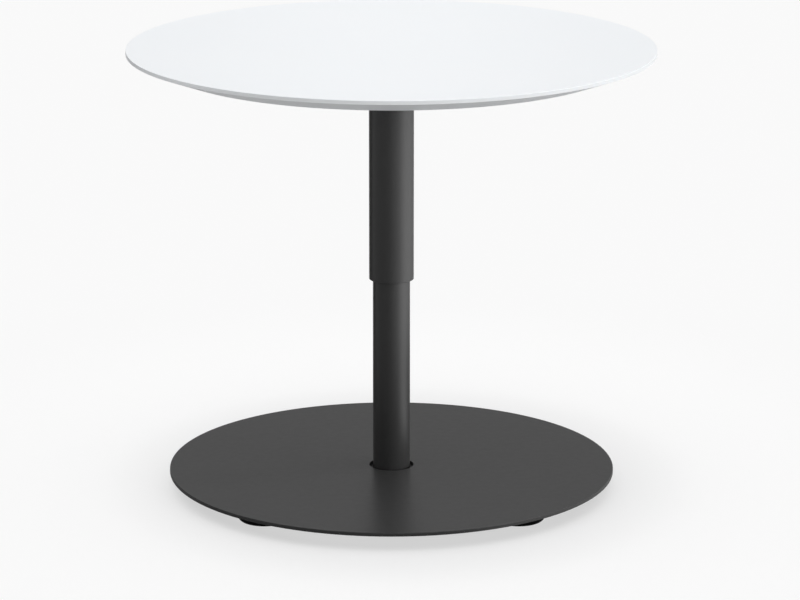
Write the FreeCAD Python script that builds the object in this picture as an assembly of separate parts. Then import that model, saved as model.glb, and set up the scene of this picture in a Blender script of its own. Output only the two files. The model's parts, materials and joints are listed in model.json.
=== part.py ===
import FreeCAD
import Part
import math
import os

# Round pedestal table on a telescoping gas-lift column, in millimetres.
# Z points up from the floor, the column stands on the Z axis, and the release lever points to +Y.
# The pose built here is the middle of the lift.

# Whole table
TABLE_HEIGHT = 600.0
LIFT_UP = 80.0
LIFT_DOWN = 80.0

# Tabletop
TOP_DIAMETER = 700.0
TOP_THICKNESS = 22.0
TOP_EDGE_HEIGHT = 5.0
TOP_BEVEL_WIDTH = 47.0
LAMINATE_THICKNESS = 0.8
LAMINATE_EDGE_ROUND = 0.4

# Base plate and its feet
BASE_DIAMETER = 600.0
BASE_THICKNESS = 5.0
BASE_HOLE_DIAMETER = 60.0
BASE_EDGE_ROUND = 0.8
FOOT_HEIGHT = 20.0
FOOT_DIAMETER = 72.0
FOOT_LOWER_ROUND = 8.0
FOOT_UPPER_ROUND = 2.0
FOOT_CIRCLE_RADIUS = 235.5
FOOT_STUD_DIAMETER = 8.0
FOOT_STUD_LENGTH = 12.0

# Flange that joins the column to the base plate from below
FLANGE_DIAMETER = 140.0
FLANGE_THICKNESS = 6.0
FLANGE_EDGE_CHAMFER = 1.0
FLANGE_STUD_COUNT = 6
FLANGE_STUD_CIRCLE_RADIUS = 52.0
FLANGE_STUD_DIAMETER = 8.0
FLANGE_HOLE_CLEARANCE = 0.5
WASHER_DIAMETER = 16.0
WASHER_THICKNESS = 1.6
FLANGE_NUT_ACROSS_FLATS = 13.0
FLANGE_NUT_HEIGHT = 6.5
STUD_END_BEYOND_NUT = 0.8

# Column tubes and the rings that centre one in the other
LOWER_TUBE_DIAMETER = 50.0
LOWER_TUBE_WALL = 2.5
UPPER_TUBE_DIAMETER = 60.0
UPPER_TUBE_WALL = 2.0
UPPER_TUBE_LENGTH = 288.0
UPPER_TUBE_WELD_LEG = 3.5
TUBE_EDGE_CHAMFER = 0.4
GLIDE_RING_LENGTH = 16.0
GLIDE_RING_RECESS = 1.0
GLIDE_CAP_THICKNESS = 2.0

# Gas lift: pressure cylinder above, piston rod below, turning on a thrust bearing
CYLINDER_DIAMETER = 28.0
CYLINDER_WALL = 1.5
CYLINDER_LIP_DEPTH = 3.0
VALVE_LENGTH = 3.5
TAPER_LENGTH = 32.0
TAPER_PER_MM = 0.05
GUIDE_BUSH_LENGTH = 100.0
ROD_DIAMETER = 10.0
ROD_SPIGOT_DIAMETER = 8.0
ROD_GUIDE_LENGTH = 20.0
PISTON_HEIGHT = 16.0
SEAL_SECTION = 2.0
BUMPER_DIAMETER = 24.0
BUMPER_HEIGHT = 14.0
BUMPER_WAIST_DEPTH = 2.0
SEAT_THICKNESS = 8.0
RACE_INNER_DIAMETER = 12.0
RACE_OUTER_DIAMETER = 32.0
RACE_THICKNESS = 2.0
BALL_DIAMETER = 4.0
BALL_COUNT = 12
CAGE_THICKNESS = 1.6
CAGE_BORDER = 1.5
CLIP_WASHER_DIAMETER = 20.0
CLIP_DIAMETER = 14.0
CLIP_THICKNESS = 1.2
CLIP_GROOVE_DEPTH = 0.8
SPIGOT_END = 3.0

# Release head, its lever and button
HEAD_DIAMETER = 48.0
HEAD_SLOT_WIDTH = 13.0
HEAD_SLOT_HEIGHT = 26.0
HEAD_SCREW_DIAMETER = 5.0
HEAD_SCREW_LENGTH = 16.0
HEAD_SCREW_HEAD_DIAMETER = 10.0
HEAD_SCREW_OFFSET_X = 13.5
HEAD_SCREW_OFFSET_Y = 9.0
HEAD_TO_TUBE_GAP = 2.0
BUTTON_DIAMETER = 8.0
BUTTON_STEM_LENGTH = 40.0
BUTTON_RISE = 8.0
BUTTON_DOME_HEIGHT = 1.5
PIVOT_OFFSET = 18.0
PIVOT_ABOVE_BUTTON = 5.0
PIVOT_DIAMETER = 6.0
PIVOT_LENGTH = 30.0
LEVER_WIDTH = 12.0
LEVER_THICKNESS = 6.0
LEVER_EYE_DIAMETER = 14.0
LEVER_REACH = 245.0
LEVER_DROOP_DEG = 6.0
LEVER_TONGUE_PAST_BUTTON = 4.0
LEVER_TRAVEL_DEG = 8.0
LEVER_WINDOW_MARGIN = 3.0
GRIP_LENGTH = 84.0
GRIP_WIDTH = 30.0
GRIP_THICKNESS = 11.0
GRIP_EDGE_ROUND = 3.0
GRIP_GROOVE_COUNT = 5
GRIP_GROOVE_PITCH = 9.0
GRIP_GROOVE_RADIUS = 2.0
GRIP_GROOVE_DEPTH = 1.0
GRIP_SOCKET_END = 12.0

# Plate between the column and the tabletop
TOP_PLATE_DIAMETER = 240.0
TOP_PLATE_THICKNESS = 5.0
TOP_PLATE_CHAMFER = 1.0
TOP_SCREW_COUNT = 8
TOP_SCREW_CIRCLE_RADIUS = 100.0
TOP_SCREW_DIAMETER = 5.0
TOP_SCREW_LENGTH = 18.0
TOP_SCREW_HEAD_DIAMETER = 9.5
TOP_SCREW_HEAD_HEIGHT = 3.0
TOP_SCREW_TIP_LENGTH = 3.0
TOP_SCREW_HOLE_CLEARANCE = 0.25

# Fits
RUNNING_CLEARANCE = 0.1
SEAT_CLEARANCE = 0.05
STOP_CLEARANCE = 0.5
BUTTON_GAP = 0.3

# Heights worked out from the sizes above
base_top = FOOT_HEIGHT + BASE_THICKNESS
flange_bottom = FOOT_HEIGHT - FLANGE_THICKNESS
seat_top = flange_bottom + SEAT_THICKNESS
balls_bottom = seat_top + RACE_THICKNESS
upper_race_bottom = balls_bottom + BALL_DIAMETER + RUNNING_CLEARANCE
rod_shoulder = upper_race_bottom + RACE_THICKNESS
bumper_top = rod_shoulder + BUMPER_HEIGHT
clip_washer_top = flange_bottom - RUNNING_CLEARANCE
clip_top = clip_washer_top - WASHER_THICKNESS
spigot_bottom = clip_top - CLIP_THICKNESS - SPIGOT_END

top_underside = TABLE_HEIGHT - TOP_THICKNESS
plate_underside = top_underside - TOP_PLATE_THICKNESS
upper_tube_end = plate_underside - UPPER_TUBE_LENGTH
slot_floor = plate_underside - HEAD_SLOT_HEIGHT
head_bottom = slot_floor - TAPER_LENGTH
lower_tube_top = head_bottom - LIFT_DOWN - HEAD_TO_TUBE_GAP - GLIDE_CAP_THICKNESS
button_top = slot_floor + BUTTON_RISE
pivot_height = button_top + PIVOT_ABOVE_BUTTON
button_travel = PIVOT_OFFSET * math.radians(LEVER_TRAVEL_DEG)

cylinder_bottom = bumper_top + STOP_CLEARANCE + LIFT_DOWN
rod_guide_bottom = cylinder_bottom + CYLINDER_WALL
rod_guide_top = rod_guide_bottom + ROD_GUIDE_LENGTH
piston_bottom = rod_guide_top + LIFT_UP + STOP_CLEARANCE

# Radii worked out from the sizes above
lower_tube_radius = LOWER_TUBE_DIAMETER / 2
lower_tube_bore = lower_tube_radius - LOWER_TUBE_WALL
upper_tube_radius = UPPER_TUBE_DIAMETER / 2
upper_tube_bore = upper_tube_radius - UPPER_TUBE_WALL
cylinder_radius = CYLINDER_DIAMETER / 2
cylinder_bore = cylinder_radius - CYLINDER_WALL
rod_radius = ROD_DIAMETER / 2
spigot_radius = ROD_SPIGOT_DIAMETER / 2
button_radius = BUTTON_DIAMETER / 2
ball_circle_radius = (RACE_INNER_DIAMETER + RACE_OUTER_DIAMETER) / 4

ORIGIN = FreeCAD.Vector(0, 0, 0)
UP = FreeCAD.Vector(0, 0, 1)
ALONG_X = FreeCAD.Vector(1, 0, 0)


def turned(profile):
    """Revolve a closed outline of (radius, height) points about the Z axis."""
    points = [FreeCAD.Vector(radius, 0, height) for radius, height in profile]
    outline = Part.makePolygon(points + points[:1])
    return Part.Face(outline).revolve(ORIGIN, UP, 360)


def ring(inner_radius, outer_radius, bottom, top):
    """A plain turned ring."""
    return turned([
        (inner_radius, bottom),
        (outer_radius, bottom),
        (outer_radius, top),
        (inner_radius, top),
    ])


def pin(radius, bottom, top, x=0.0, y=0.0):
    """An upright round bar, also used as the tool that drills a hole."""
    return Part.makeCylinder(radius, top - bottom, FreeCAD.Vector(x, y, bottom), UP)


def cross_pin(radius, length, y, height):
    """A round bar along X, centred on the column's middle plane."""
    return Part.makeCylinder(radius, length, FreeCAD.Vector(-length / 2, y, height), ALONG_X)


def around(count, radius, first_angle_deg):
    """Places evenly spread on a circle about the column."""
    places = []
    for index in range(count):
        angle = math.radians(first_angle_deg + 360.0 * index / count)
        places.append((radius * math.cos(angle), radius * math.sin(angle)))
    return places


def group(shape, places):
    """Copies of one solid, moved to each place, kept as separate solids of one piece list."""
    copies = []
    for x, y in places:
        copies.append(shape.translated(FreeCAD.Vector(x, y, 0)))
    return Part.makeCompound(copies)


def hexagon(across_flats, bottom, top):
    """A hexagonal prism standing on the Z axis."""
    corner_radius = across_flats / math.sqrt(3)
    points = [FreeCAD.Vector(x, y, bottom) for x, y in around(6, corner_radius, 0)]
    outline = Part.makePolygon(points + points[:1])
    return Part.Face(outline).extrude(FreeCAD.Vector(0, 0, top - bottom))


def circles_at(shape, radius, height):
    """The round edges of a turned shape at one radius and height."""
    found = []
    for edge in shape.Edges:
        curve = edge.Curve
        if not isinstance(curve, Part.Circle):
            continue
        if abs(curve.Radius - radius) < 1e-4 and abs(edge.BoundBox.ZMin - height) < 1e-4:
            found.append(edge)
    return found


foot_places = around(4, FOOT_CIRCLE_RADIUS, 45)
flange_stud_places = around(FLANGE_STUD_COUNT, FLANGE_STUD_CIRCLE_RADIUS, 30)
top_screw_places = around(TOP_SCREW_COUNT, TOP_SCREW_CIRCLE_RADIUS, 180.0 / TOP_SCREW_COUNT)
head_screw_places = []
for side_x in (-1, 1):
    for side_y in (-1, 1):
        head_screw_places.append((side_x * HEAD_SCREW_OFFSET_X, side_y * HEAD_SCREW_OFFSET_Y))


def base_plate():
    """Flat disc on the floor, with an open hole round the column."""
    radius = BASE_DIAMETER / 2
    disc = ring(BASE_HOLE_DIAMETER / 2, radius, FOOT_HEIGHT, base_top)
    rims = circles_at(disc, radius, FOOT_HEIGHT) + circles_at(disc, radius, base_top)
    return disc.makeFillet(BASE_EDGE_ROUND, rims)


def foot():
    """Moulded glide with a rounded lower edge and a blind socket for its stud."""
    radius = FOOT_DIAMETER / 2
    block = Part.makeCylinder(radius, FOOT_HEIGHT)
    block = block.makeFillet(FOOT_LOWER_ROUND, circles_at(block, radius, 0))
    block = block.makeFillet(FOOT_UPPER_ROUND, circles_at(block, radius, FOOT_HEIGHT))
    socket_bottom = FOOT_HEIGHT - FOOT_STUD_LENGTH - STOP_CLEARANCE
    return block.cut(pin(FOOT_STUD_DIAMETER / 2 + SEAT_CLEARANCE, socket_bottom, FOOT_HEIGHT))


def foot_studs():
    """Studs welded under the base plate, one in each foot."""
    return group(pin(FOOT_STUD_DIAMETER / 2, FOOT_HEIGHT - FOOT_STUD_LENGTH, FOOT_HEIGHT), foot_places)


def column_flange():
    """Disc under the base plate, welded flush to the lower tube's foot from below."""
    bore = lower_tube_radius + SEAT_CLEARANCE
    radius = FLANGE_DIAMETER / 2
    flange = turned([
        (bore, flange_bottom),
        (radius - FLANGE_EDGE_CHAMFER, flange_bottom),
        (radius, flange_bottom + FLANGE_EDGE_CHAMFER),
        (radius, FOOT_HEIGHT),
        (bore, FOOT_HEIGHT),
    ])
    hole_radius = FLANGE_STUD_DIAMETER / 2 + FLANGE_HOLE_CLEARANCE
    for x, y in flange_stud_places:
        flange = flange.cut(pin(hole_radius, flange_bottom, FOOT_HEIGHT, x, y))
    return flange


def flange_studs():
    """Studs welded under the base plate, through the flange and its nuts."""
    nut_bottom = flange_bottom - WASHER_THICKNESS - FLANGE_NUT_HEIGHT
    stud = pin(FLANGE_STUD_DIAMETER / 2, nut_bottom - STUD_END_BEYOND_NUT, FOOT_HEIGHT)
    return group(stud, flange_stud_places)


def flange_washers():
    """Plain washers under the flange."""
    bore = FLANGE_STUD_DIAMETER / 2 + SEAT_CLEARANCE
    washer = ring(bore, WASHER_DIAMETER / 2, flange_bottom - WASHER_THICKNESS, flange_bottom)
    return group(washer, flange_stud_places)


def flange_nuts():
    """Hexagon nuts that hold the flange up to the base plate, with chamfered lower corners."""
    top = flange_bottom - WASHER_THICKNESS
    bottom = top - FLANGE_NUT_HEIGHT
    nut = hexagon(FLANGE_NUT_ACROSS_FLATS, bottom, top)
    flat_radius = FLANGE_NUT_ACROSS_FLATS / 2
    foot_of_nut = FreeCAD.Vector(0, 0, bottom)
    wide_radius = flat_radius + FLANGE_NUT_HEIGHT
    chamfer = Part.makeCone(flat_radius, wide_radius, FLANGE_NUT_HEIGHT, foot_of_nut, UP)
    nut = nut.common(chamfer)
    nut = nut.cut(pin(FLANGE_STUD_DIAMETER / 2 + SEAT_CLEARANCE, bottom, top))
    return group(nut, flange_stud_places)


def lower_tube():
    """Standing tube of the column, from the flange up into the upper tube."""
    tube = ring(lower_tube_bore, lower_tube_radius, flange_bottom, lower_tube_top)
    return tube.makeChamfer(TUBE_EDGE_CHAMFER, circles_at(tube, lower_tube_radius, lower_tube_top))


def bearing_seat():
    """Disc welded in the foot of the lower tube, carrying the thrust bearing."""
    bore = spigot_radius + RUNNING_CLEARANCE
    return ring(bore, lower_tube_bore - SEAT_CLEARANCE, flange_bottom, seat_top)


def bearing_race(bottom):
    """One washer of the thrust bearing."""
    return ring(RACE_INNER_DIAMETER / 2, RACE_OUTER_DIAMETER / 2, bottom, bottom + RACE_THICKNESS)


def bearing_balls():
    """Ring of balls between the two races."""
    ball = Part.makeSphere(BALL_DIAMETER / 2, FreeCAD.Vector(0, 0, balls_bottom + BALL_DIAMETER / 2))
    return group(ball, around(BALL_COUNT, ball_circle_radius, 0))


def bearing_cage():
    """Thin ring that keeps the balls apart."""
    middle = balls_bottom + BALL_DIAMETER / 2
    bottom = middle - CAGE_THICKNESS / 2
    top = middle + CAGE_THICKNESS / 2
    half_width = BALL_DIAMETER / 2 + CAGE_BORDER
    cage = ring(ball_circle_radius - half_width, ball_circle_radius + half_width, bottom, top)
    for x, y in around(BALL_COUNT, ball_circle_radius, 0):
        cage = cage.cut(pin(BALL_DIAMETER / 2 + RUNNING_CLEARANCE, bottom, top, x, y))
    return cage


def guide_bush():
    """Long plastic sleeve in the top of the lower tube that guides the gas cylinder."""
    return ring(cylinder_radius + RUNNING_CLEARANCE, lower_tube_bore - SEAT_CLEARANCE,
                lower_tube_top - GUIDE_BUSH_LENGTH, lower_tube_top)


def upper_glide_ring():
    """Cap on the lower tube's top that runs in the upper tube's bore."""
    outer = upper_tube_bore - RUNNING_CLEARANCE
    skirt_bore = lower_tube_radius + SEAT_CLEARANCE
    return turned([
        (lower_tube_bore, lower_tube_top),
        (skirt_bore, lower_tube_top),
        (skirt_bore, lower_tube_top - GLIDE_RING_LENGTH),
        (outer, lower_tube_top - GLIDE_RING_LENGTH),
        (outer, lower_tube_top + GLIDE_CAP_THICKNESS),
        (lower_tube_bore, lower_tube_top + GLIDE_CAP_THICKNESS),
    ])


def piston_rod():
    """Rod that stands on the thrust bearing, with a thin spigot and clip groove below it."""
    groove_radius = spigot_radius - CLIP_GROOVE_DEPTH
    groove_bottom = clip_top - CLIP_THICKNESS
    return turned([
        (0, spigot_bottom),
        (spigot_radius, spigot_bottom),
        (spigot_radius, groove_bottom),
        (groove_radius, groove_bottom),
        (groove_radius, clip_top),
        (spigot_radius, clip_top),
        (spigot_radius, rod_shoulder),
        (rod_radius, rod_shoulder),
        (rod_radius, piston_bottom + PISTON_HEIGHT),
        (0, piston_bottom + PISTON_HEIGHT),
    ])


def piston():
    """Piston on the rod's upper end, grooved for its seal."""
    outer = cylinder_bore - RUNNING_CLEARANCE
    middle = piston_bottom + PISTON_HEIGHT / 2
    half_groove = SEAL_SECTION / 2 + SEAT_CLEARANCE
    groove_radius = outer - SEAL_SECTION - SEAT_CLEARANCE
    return turned([
        (rod_radius + SEAT_CLEARANCE, piston_bottom),
        (outer, piston_bottom),
        (outer, middle - half_groove),
        (groove_radius, middle - half_groove),
        (groove_radius, middle + half_groove),
        (outer, middle + half_groove),
        (outer, piston_bottom + PISTON_HEIGHT),
        (rod_radius + SEAT_CLEARANCE, piston_bottom + PISTON_HEIGHT),
    ])


def piston_seal():
    """Round-section seal in the piston's groove."""
    section_radius = SEAL_SECTION / 2
    middle = FreeCAD.Vector(0, 0, piston_bottom + PISTON_HEIGHT / 2)
    return Part.makeTorus(cylinder_bore - RUNNING_CLEARANCE - section_radius, section_radius, middle, UP)


def rubber_bumper():
    """Waisted rubber stop that the cylinder comes down on."""
    inner = rod_radius + SEAT_CLEARANCE
    outer = BUMPER_DIAMETER / 2
    return turned([
        (inner, rod_shoulder),
        (outer, rod_shoulder),
        (outer, rod_shoulder + BUMPER_HEIGHT / 4),
        (outer - BUMPER_WAIST_DEPTH, rod_shoulder + BUMPER_HEIGHT / 2),
        (outer, bumper_top - BUMPER_HEIGHT / 4),
        (outer, bumper_top),
        (inner, bumper_top),
    ])


def clip_washer():
    """Washer between the seat's underside and the clip."""
    return ring(spigot_radius + SEAT_CLEARANCE, CLIP_WASHER_DIAMETER / 2, clip_top, clip_washer_top)


def retaining_clip():
    """Open spring clip in the spigot's groove."""
    groove_radius = spigot_radius - CLIP_GROOVE_DEPTH
    clip = ring(groove_radius + SEAT_CLEARANCE, CLIP_DIAMETER / 2, clip_top - CLIP_THICKNESS, clip_top)
    mouth = Part.makeBox(groove_radius * 2, CLIP_DIAMETER, CLIP_THICKNESS,
                         FreeCAD.Vector(-groove_radius, 0, clip_top - CLIP_THICKNESS))
    return clip.cut(mouth)


def gas_cylinder():
    """Pressure tube with a rolled lower lip and a tapered upper end bored for the button."""
    lip_radius = cylinder_bore - CYLINDER_LIP_DEPTH
    cap_bottom = slot_floor - BUTTON_STEM_LENGTH - button_travel - VALVE_LENGTH
    stem_bore = button_radius + RUNNING_CLEARANCE
    return turned([
        (lip_radius, cylinder_bottom),
        (cylinder_radius, cylinder_bottom),
        (cylinder_radius, head_bottom),
        (cylinder_radius - TAPER_LENGTH * TAPER_PER_MM, slot_floor),
        (stem_bore, slot_floor),
        (stem_bore, cap_bottom),
        (cylinder_bore, cap_bottom),
        (cylinder_bore, rod_guide_bottom),
        (lip_radius, rod_guide_bottom),
    ])


def rod_guide():
    """Guide and seal block held in the cylinder's lower end."""
    bore = rod_radius + RUNNING_CLEARANCE
    return ring(bore, cylinder_bore - SEAT_CLEARANCE, rod_guide_bottom, rod_guide_top)


def upper_tube():
    """Outer tube of the column, welded under the top plate, with a window at the back for the lever."""
    tube = turned([
        (upper_tube_bore, upper_tube_end),
        (upper_tube_radius, upper_tube_end),
        (upper_tube_radius, plate_underside - UPPER_TUBE_WELD_LEG),
        (upper_tube_radius + UPPER_TUBE_WELD_LEG, plate_underside),
        (upper_tube_bore, plate_underside),
    ])
    tube = tube.makeChamfer(TUBE_EDGE_CHAMFER, circles_at(tube, upper_tube_radius, upper_tube_end))
    droop = math.radians(LEVER_DROOP_DEG)
    lowest_at_wall = pivot_height - (upper_tube_radius - PIVOT_OFFSET) * math.tan(droop) - LEVER_THICKNESS
    window_bottom = lowest_at_wall - LEVER_WINDOW_MARGIN
    window_width = LEVER_WIDTH + 2 * LEVER_WINDOW_MARGIN
    window_reach = upper_tube_radius + UPPER_TUBE_WELD_LEG
    window = Part.makeBox(window_width, window_reach, plate_underside - window_bottom,
                          FreeCAD.Vector(-window_width / 2, 0, window_bottom))
    return tube.cut(window)


def lower_glide_ring():
    """Ring in the upper tube's lower end that runs on the lower tube."""
    bottom = upper_tube_end + GLIDE_RING_RECESS
    return ring(lower_tube_radius + RUNNING_CLEARANCE, upper_tube_bore - SEAT_CLEARANCE,
                bottom, bottom + GLIDE_RING_LENGTH)


def release_head():
    """Block under the top plate: a taper socket below, and two cheeks that carry the lever above."""
    mouth = cylinder_radius + SEAT_CLEARANCE
    head = turned([
        (mouth, head_bottom),
        (HEAD_DIAMETER / 2, head_bottom),
        (HEAD_DIAMETER / 2, plate_underside),
        (0, plate_underside),
        (0, slot_floor),
        (mouth - TAPER_LENGTH * TAPER_PER_MM, slot_floor),
    ])
    slot = Part.makeBox(HEAD_SLOT_WIDTH, HEAD_DIAMETER, HEAD_SLOT_HEIGHT,
                        FreeCAD.Vector(-HEAD_SLOT_WIDTH / 2, -HEAD_DIAMETER / 2, slot_floor))
    head = head.cut(slot)
    pivot_bore = cross_pin(PIVOT_DIAMETER / 2 + SEAT_CLEARANCE, HEAD_DIAMETER, PIVOT_OFFSET, pivot_height)
    head = head.cut(pivot_bore)
    tip = top_underside - HEAD_SCREW_LENGTH - STOP_CLEARANCE
    for x, y in head_screw_places:
        head = head.cut(pin(HEAD_SCREW_DIAMETER / 2 + SEAT_CLEARANCE, tip, plate_underside, x, y))
    return head


def countersink_depth():
    """Depth of a right-angled countersink for the head screws."""
    return (HEAD_SCREW_HEAD_DIAMETER - HEAD_SCREW_DIAMETER) / 2


def head_screws():
    """Countersunk screws from the top plate's upper face down into the head."""
    shank = HEAD_SCREW_DIAMETER / 2
    screw = turned([
        (0, top_underside - HEAD_SCREW_LENGTH),
        (shank, top_underside - HEAD_SCREW_LENGTH),
        (shank, top_underside - countersink_depth()),
        (HEAD_SCREW_HEAD_DIAMETER / 2, top_underside),
        (0, top_underside),
    ])
    return group(screw, head_screw_places)


def top_plate():
    """Steel disc screwed under the tabletop."""
    radius = TOP_PLATE_DIAMETER / 2
    plate = turned([
        (0, plate_underside),
        (radius - TOP_PLATE_CHAMFER, plate_underside),
        (radius, plate_underside + TOP_PLATE_CHAMFER),
        (radius, top_underside),
        (0, top_underside),
    ])
    for x, y in top_screw_places:
        hole_radius = TOP_SCREW_DIAMETER / 2 + TOP_SCREW_HOLE_CLEARANCE
        plate = plate.cut(pin(hole_radius, plate_underside, top_underside, x, y))
    shank = HEAD_SCREW_DIAMETER / 2 + SEAT_CLEARANCE
    depth = countersink_depth()
    for x, y in head_screw_places:
        countersink_foot = FreeCAD.Vector(x, y, top_underside - depth)
        plate = plate.cut(pin(shank, plate_underside, top_underside, x, y))
        plate = plate.cut(Part.makeCone(shank, shank + depth, depth, countersink_foot, UP))
    return plate


def top_screws():
    """Pan-head wood screws up through the top plate into the tabletop."""
    head = TOP_SCREW_HEAD_DIAMETER / 2
    shank = TOP_SCREW_DIAMETER / 2
    head_bottom_height = plate_underside - TOP_SCREW_HEAD_HEIGHT
    tip = plate_underside + TOP_SCREW_LENGTH
    screw = turned([
        (0, head_bottom_height),
        (head - TOP_SCREW_HEAD_HEIGHT / 2, head_bottom_height),
        (head, plate_underside - TOP_SCREW_HEAD_HEIGHT / 2),
        (head, plate_underside),
        (shank, plate_underside),
        (shank, tip - TOP_SCREW_TIP_LENGTH),
        (0, tip),
    ])
    return group(screw, top_screw_places)


def drilled_for_top_screws(shape):
    """Cut the pilot holes of the tabletop's screws."""
    radius = TOP_SCREW_DIAMETER / 2 + SEAT_CLEARANCE
    for x, y in top_screw_places:
        shape = shape.cut(pin(radius, top_underside, plate_underside + TOP_SCREW_LENGTH, x, y))
    return shape


def bevel_radius(height):
    """Radius of the tabletop's sloping underside at a height."""
    bevel_rise = TOP_THICKNESS - TOP_EDGE_HEIGHT
    inner = TOP_DIAMETER / 2 - TOP_BEVEL_WIDTH
    return inner + TOP_BEVEL_WIDTH * (height - top_underside) / bevel_rise


def tabletop_core():
    """Board between the two facings, with the wide sloping underside that thins the edge."""
    radius = TOP_DIAMETER / 2
    bottom = top_underside + LAMINATE_THICKNESS
    top = TABLE_HEIGHT - LAMINATE_THICKNESS
    core = turned([
        (0, bottom),
        (bevel_radius(bottom), bottom),
        (radius, TABLE_HEIGHT - TOP_EDGE_HEIGHT),
        (radius, top),
        (0, top),
    ])
    return drilled_for_top_screws(core)


def tabletop_laminate():
    """Hard facing on the upper side."""
    radius = TOP_DIAMETER / 2
    bottom = TABLE_HEIGHT - LAMINATE_THICKNESS
    facing = pin(radius, bottom, TABLE_HEIGHT)
    return facing.makeFillet(LAMINATE_EDGE_ROUND, circles_at(facing, radius, TABLE_HEIGHT))


def tabletop_backing():
    """Balancing facing on the flat part of the underside."""
    top = top_underside + LAMINATE_THICKNESS
    facing = turned([
        (0, top_underside),
        (bevel_radius(top_underside), top_underside),
        (bevel_radius(top), top),
        (0, top),
    ])
    return drilled_for_top_screws(facing)


def pivot_pin():
    """Cross pin that the lever turns on."""
    return cross_pin(PIVOT_DIAMETER / 2, PIVOT_LENGTH, PIVOT_OFFSET, pivot_height)


def drooped(shape):
    """Turn a piece built level along +Y from the pivot down to the lever's slope."""
    shape = shape.copy()
    shape.rotate(FreeCAD.Vector(0, PIVOT_OFFSET, pivot_height), ALONG_X, -LEVER_DROOP_DEG)
    return shape


def side_profile(points, width):
    """Extrude an outline of (y, z) points, measured from the pivot, to a width centred on X."""
    corners = [FreeCAD.Vector(-width / 2, PIVOT_OFFSET + y, pivot_height + z) for y, z in points]
    outline = Part.makePolygon(corners + corners[:1])
    return Part.Face(outline).extrude(FreeCAD.Vector(width, 0, 0))


def lever_arm(width, thickness, length):
    """Straight part of the lever, out from the pivot."""
    half = thickness / 2
    return drooped(side_profile([(0, -half), (length, -half), (length, half), (0, half)], width))


def release_lever():
    """Steel lever: a tongue over the button, an eye on the pivot and a long arm under the tabletop."""
    tongue_bottom = button_top + BUTTON_GAP - pivot_height
    tongue_top = tongue_bottom + LEVER_THICKNESS
    tip = -(PIVOT_OFFSET + LEVER_TONGUE_PAST_BUTTON)
    tongue_outline = [(0, tongue_bottom), (tip, tongue_bottom), (tip, tongue_top), (0, tongue_top)]
    tongue = side_profile(tongue_outline, LEVER_WIDTH)
    eye = cross_pin(LEVER_EYE_DIAMETER / 2, LEVER_WIDTH, PIVOT_OFFSET, pivot_height)
    lever = eye.fuse([tongue, lever_arm(LEVER_WIDTH, LEVER_THICKNESS, LEVER_REACH - GRIP_SOCKET_END)])
    bore = cross_pin(PIVOT_DIAMETER / 2 + RUNNING_CLEARANCE, LEVER_WIDTH, PIVOT_OFFSET, pivot_height)
    return lever.removeSplitter().cut(bore)


def lever_grip():
    """Moulded paddle on the lever's end, with finger grooves underneath."""
    start = PIVOT_OFFSET + LEVER_REACH - GRIP_LENGTH
    half_width = GRIP_WIDTH / 2
    bottom = pivot_height - GRIP_THICKNESS / 2
    outer_end = start + GRIP_LENGTH - half_width
    corners = [
        FreeCAD.Vector(-half_width, outer_end, bottom),
        FreeCAD.Vector(-LEVER_WIDTH, start, bottom),
        FreeCAD.Vector(LEVER_WIDTH, start, bottom),
        FreeCAD.Vector(half_width, outer_end, bottom),
    ]
    nose = Part.Arc(corners[3], FreeCAD.Vector(0, outer_end + half_width, bottom), corners[0])
    outline = Part.Wire(Part.makePolygon(corners).Edges + [nose.toShape()])
    paddle = Part.Face(outline).extrude(FreeCAD.Vector(0, 0, GRIP_THICKNESS))
    rims = [edge for edge in paddle.Edges if edge.BoundBox.ZLength < 1e-6]
    paddle = paddle.makeFillet(GRIP_EDGE_ROUND, rims)
    first_groove = outer_end - (GRIP_GROOVE_COUNT - 1) * GRIP_GROOVE_PITCH
    groove_height = bottom + GRIP_GROOVE_DEPTH - GRIP_GROOVE_RADIUS
    for index in range(GRIP_GROOVE_COUNT):
        groove_y = first_groove + index * GRIP_GROOVE_PITCH
        paddle = paddle.cut(cross_pin(GRIP_GROOVE_RADIUS, GRIP_WIDTH, groove_y, groove_height))
    socket = lever_arm(LEVER_WIDTH + 2 * SEAT_CLEARANCE, LEVER_THICKNESS + 2 * SEAT_CLEARANCE,
                       LEVER_REACH - GRIP_SOCKET_END + SEAT_CLEARANCE)
    return drooped(paddle).cut(socket)


def release_button():
    """Valve button that stands out of the cylinder's tapered end, with a domed top."""
    shoulder = button_top - BUTTON_DOME_HEIGHT
    stem = pin(button_radius, slot_floor - BUTTON_STEM_LENGTH, shoulder)
    dome_radius = (button_radius ** 2 + BUTTON_DOME_HEIGHT ** 2) / (2 * BUTTON_DOME_HEIGHT)
    dome = Part.makeSphere(dome_radius, FreeCAD.Vector(0, 0, button_top - dome_radius))
    cap = dome.common(pin(button_radius, shoulder, button_top))
    return stem.fuse(cap).removeSplitter()


def save(name, shape):
    """Write one node as a STEP file."""
    shape.exportStep("parts/" + name + ".step")


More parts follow.
